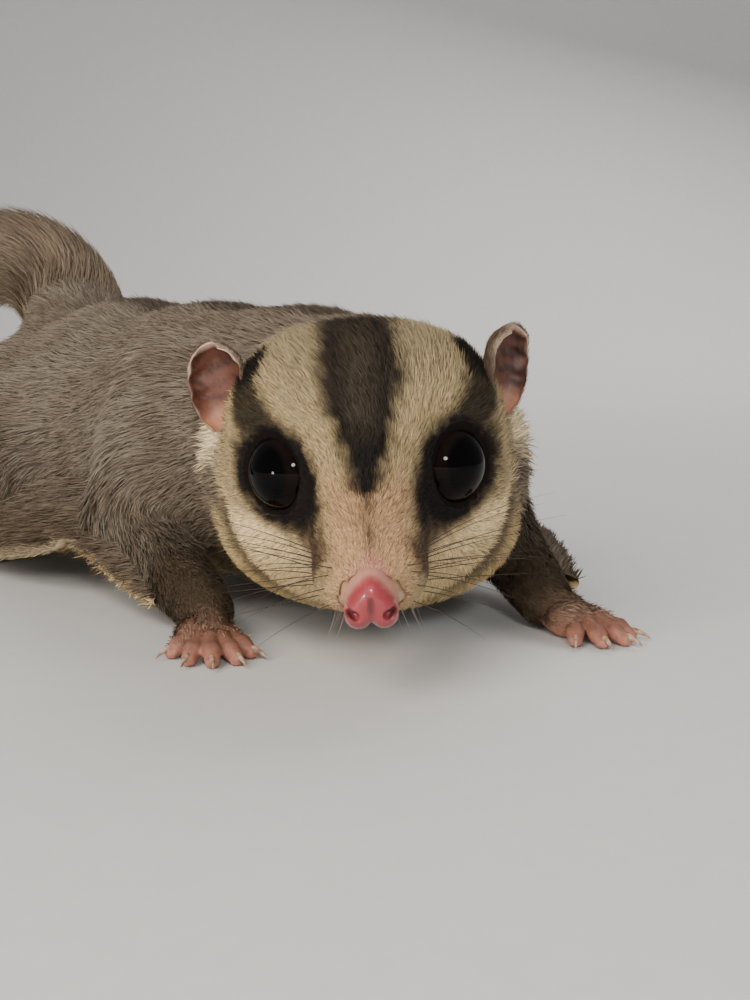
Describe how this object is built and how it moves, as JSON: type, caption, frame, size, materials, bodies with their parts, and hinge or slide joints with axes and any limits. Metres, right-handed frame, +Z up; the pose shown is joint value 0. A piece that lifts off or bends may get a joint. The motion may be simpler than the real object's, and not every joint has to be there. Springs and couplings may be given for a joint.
{
  "type": "sugar glider",
  "caption": "Life-size still model of a sugar glider crouching on the floor, head low, gliding membranes folded, bushy tail laid beside it.",
  "frame": {"origin": "middle of the bounding box at the floor that the paws and tail rest on", "axes": "+Z up; the face looks along -Y; +X is the animal's left at the head; the back runs away towards -X and +Y"},
  "size_m": [0.196, 0.1578, 0.0609],
  "materials": {
    "face_fur": "short soft fur with dark and cream markings",
    "ruff_fur": "dense soft fur, cream on the throat",
    "back_fur": "short dense grey-brown fur",
    "leg_fur": "short dense grey-brown fur, darker to the wrist",
    "membrane_fur": "thin furred fold of skin with a pale fringe",
    "tail_fur": "long soft fur",
    "tail_tip_fur": "long soft dark fur",
    "nose": "moist bare pink skin",
    "ear": "thin bare skin",
    "paw": "bare pink-brown skin with small dark claws",
    "eye": "wet black gloss"
  },
  "bodies": {
    "root": {"head": "face_fur", "nose": "nose", "neck": "ruff_fur", "torso": "back_fur", "eye_left": "eye", "ear_left": "ear", "foreleg_left": "leg_fur", "hindleg_left": "leg_fur", "forepaw_left": "paw", "hindpaw_left": "paw", "patagium_left": "membrane_fur", "eye_right": "eye", "ear_right": "ear", "foreleg_right": "leg_fur", "hindleg_right": "leg_fur", "forepaw_right": "paw", "hindpaw_right": "paw", "patagium_right": "membrane_fur", "tail_1": "tail_fur", "tail_2": "tail_fur", "tail_3": "tail_fur", "tail_4": "tail_tip_fur"}
  },
  "joints": []
}
